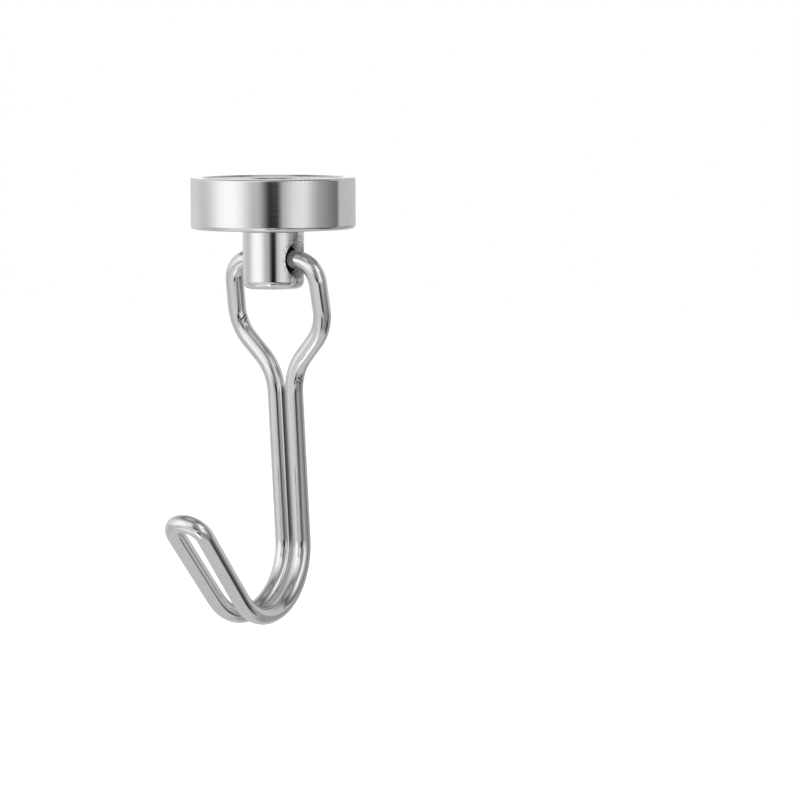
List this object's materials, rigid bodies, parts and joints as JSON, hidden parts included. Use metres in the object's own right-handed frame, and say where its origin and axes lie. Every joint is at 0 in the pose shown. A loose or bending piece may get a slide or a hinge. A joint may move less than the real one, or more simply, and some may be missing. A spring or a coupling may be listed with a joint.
{
  "type": "magnetic hook",
  "caption": "Round pot magnet with a swivelling post and a free-swinging bent-wire hook, for hanging things from steel surfaces.",
  "frame": {"origin": "centre of the magnet's contact face, in the plane of the steel cup's rim", "axes": "+Z out of the contact face, into the steel that it grips; X along the post's cross hole, about which the hook swings; -Y the side to which the hook's tip opens"},
  "size_m": [0.025, 0.0371, 0.0674],
  "materials": {
    "polished_nickel": "polished nickel plate",
    "polished_wire": "polished plated steel wire",
    "magnet_nickel": "satin nickel-plated neodymium",
    "resin": "cured black potting resin",
    "rivet_steel": "pressed steel",
    "washer_steel": "plain steel"
  },
  "bodies": {
    "magnet_base": {"steel_cup": "polished_nickel", "ring_magnet": "magnet_nickel", "potting_ring": "resin", "thrust_washer": "washer_steel"},
    "swivel": {"swivel_post": "polished_nickel", "swivel_rivet": "rivet_steel"},
    "hook": {"wire_hook": "polished_wire"}
  },
  "joints": [
    {"name": "post_swivel", "type": "hinge", "parent": "magnet_base", "child": "swivel", "pos_m": [0, 0, -0.0078], "axis": [0, 0, 1], "continuous": true},
    {"name": "hook_swing", "type": "hinge", "parent": "swivel", "child": "hook", "pos_m": [0, 0, -0.0124], "axis": [1, 0, 0], "range_deg": [-108.7, 91.3]}
  ]
}
